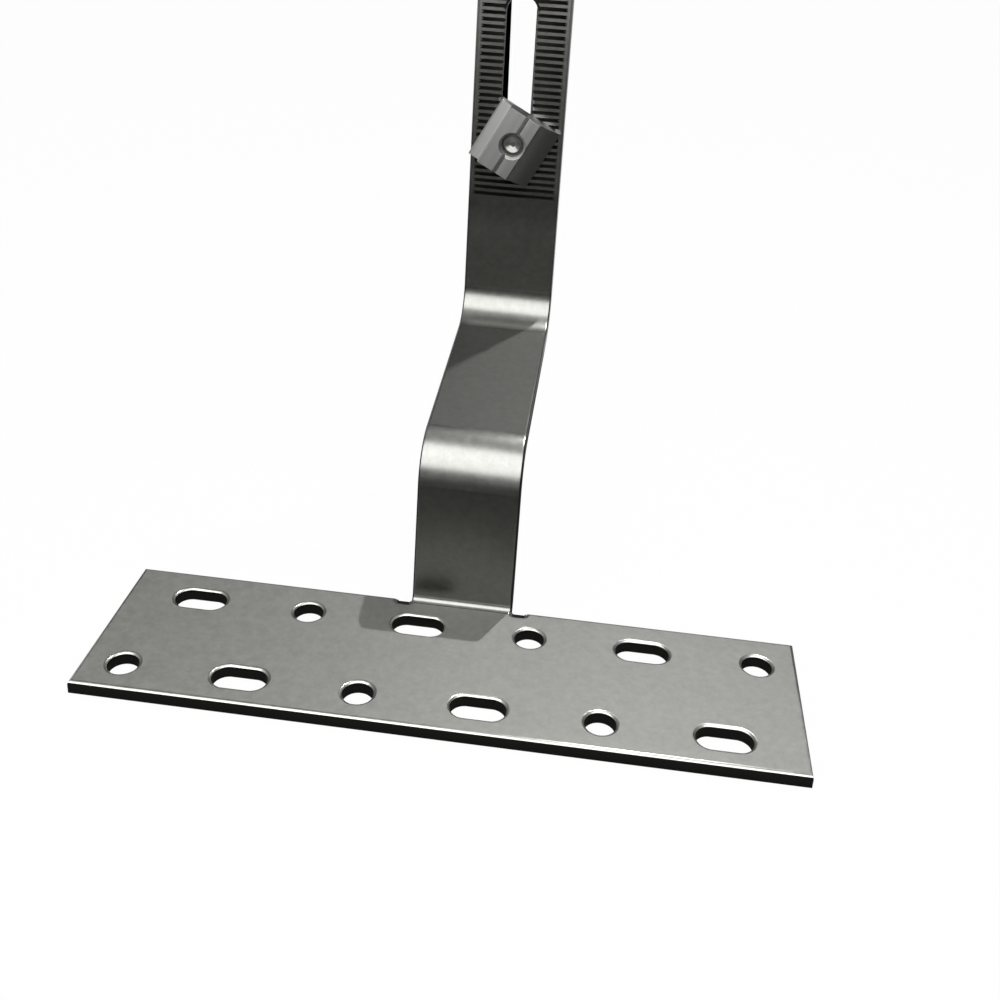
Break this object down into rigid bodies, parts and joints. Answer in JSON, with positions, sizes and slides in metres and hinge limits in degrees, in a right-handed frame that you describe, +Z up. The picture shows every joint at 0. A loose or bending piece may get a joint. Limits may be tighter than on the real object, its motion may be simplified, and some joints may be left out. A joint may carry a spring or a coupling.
{
  "type": "solar roof hook",
  "caption": "Folded steel roof hook for solar rails: punched base plate, offset arm, toothed slotted post, and a sliding clamp bolt with slot nut.",
  "frame": {"origin": "middle of the base plate's underside", "axes": "+X along the base plate's length, +Y from the plate's front edge towards the arm, +Z up off the roof; the post's -Y face carries the rail"},
  "size_m": [0.26, 0.197, 0.24],
  "materials": {
    "stainless_sheet": "mill-finished stainless sheet, fine mottled grain, satin",
    "bolt_steel": "bright stainless fastener, satin",
    "nut_aluminium": "extruded mill-finish aluminium"
  },
  "bodies": {
    "hook": {"hook": "stainless_sheet"},
    "clamp": {"hex_bolt": "bolt_steel", "flat_washer": "bolt_steel"},
    "slot_nut": {"slot_nut": "nut_aluminium"}
  },
  "joints": [
    {"name": "clamp_slide", "type": "slide", "parent": "hook", "child": "clamp", "axis": [0, 0, 1], "range_m": [0, 0.0565]},
    {"name": "nut_turn", "type": "hinge", "parent": "clamp", "child": "slot_nut", "pos_m": [-0.001, 0.13918, 0.16511], "axis": [0, -1, 0], "continuous": true}
  ]
}
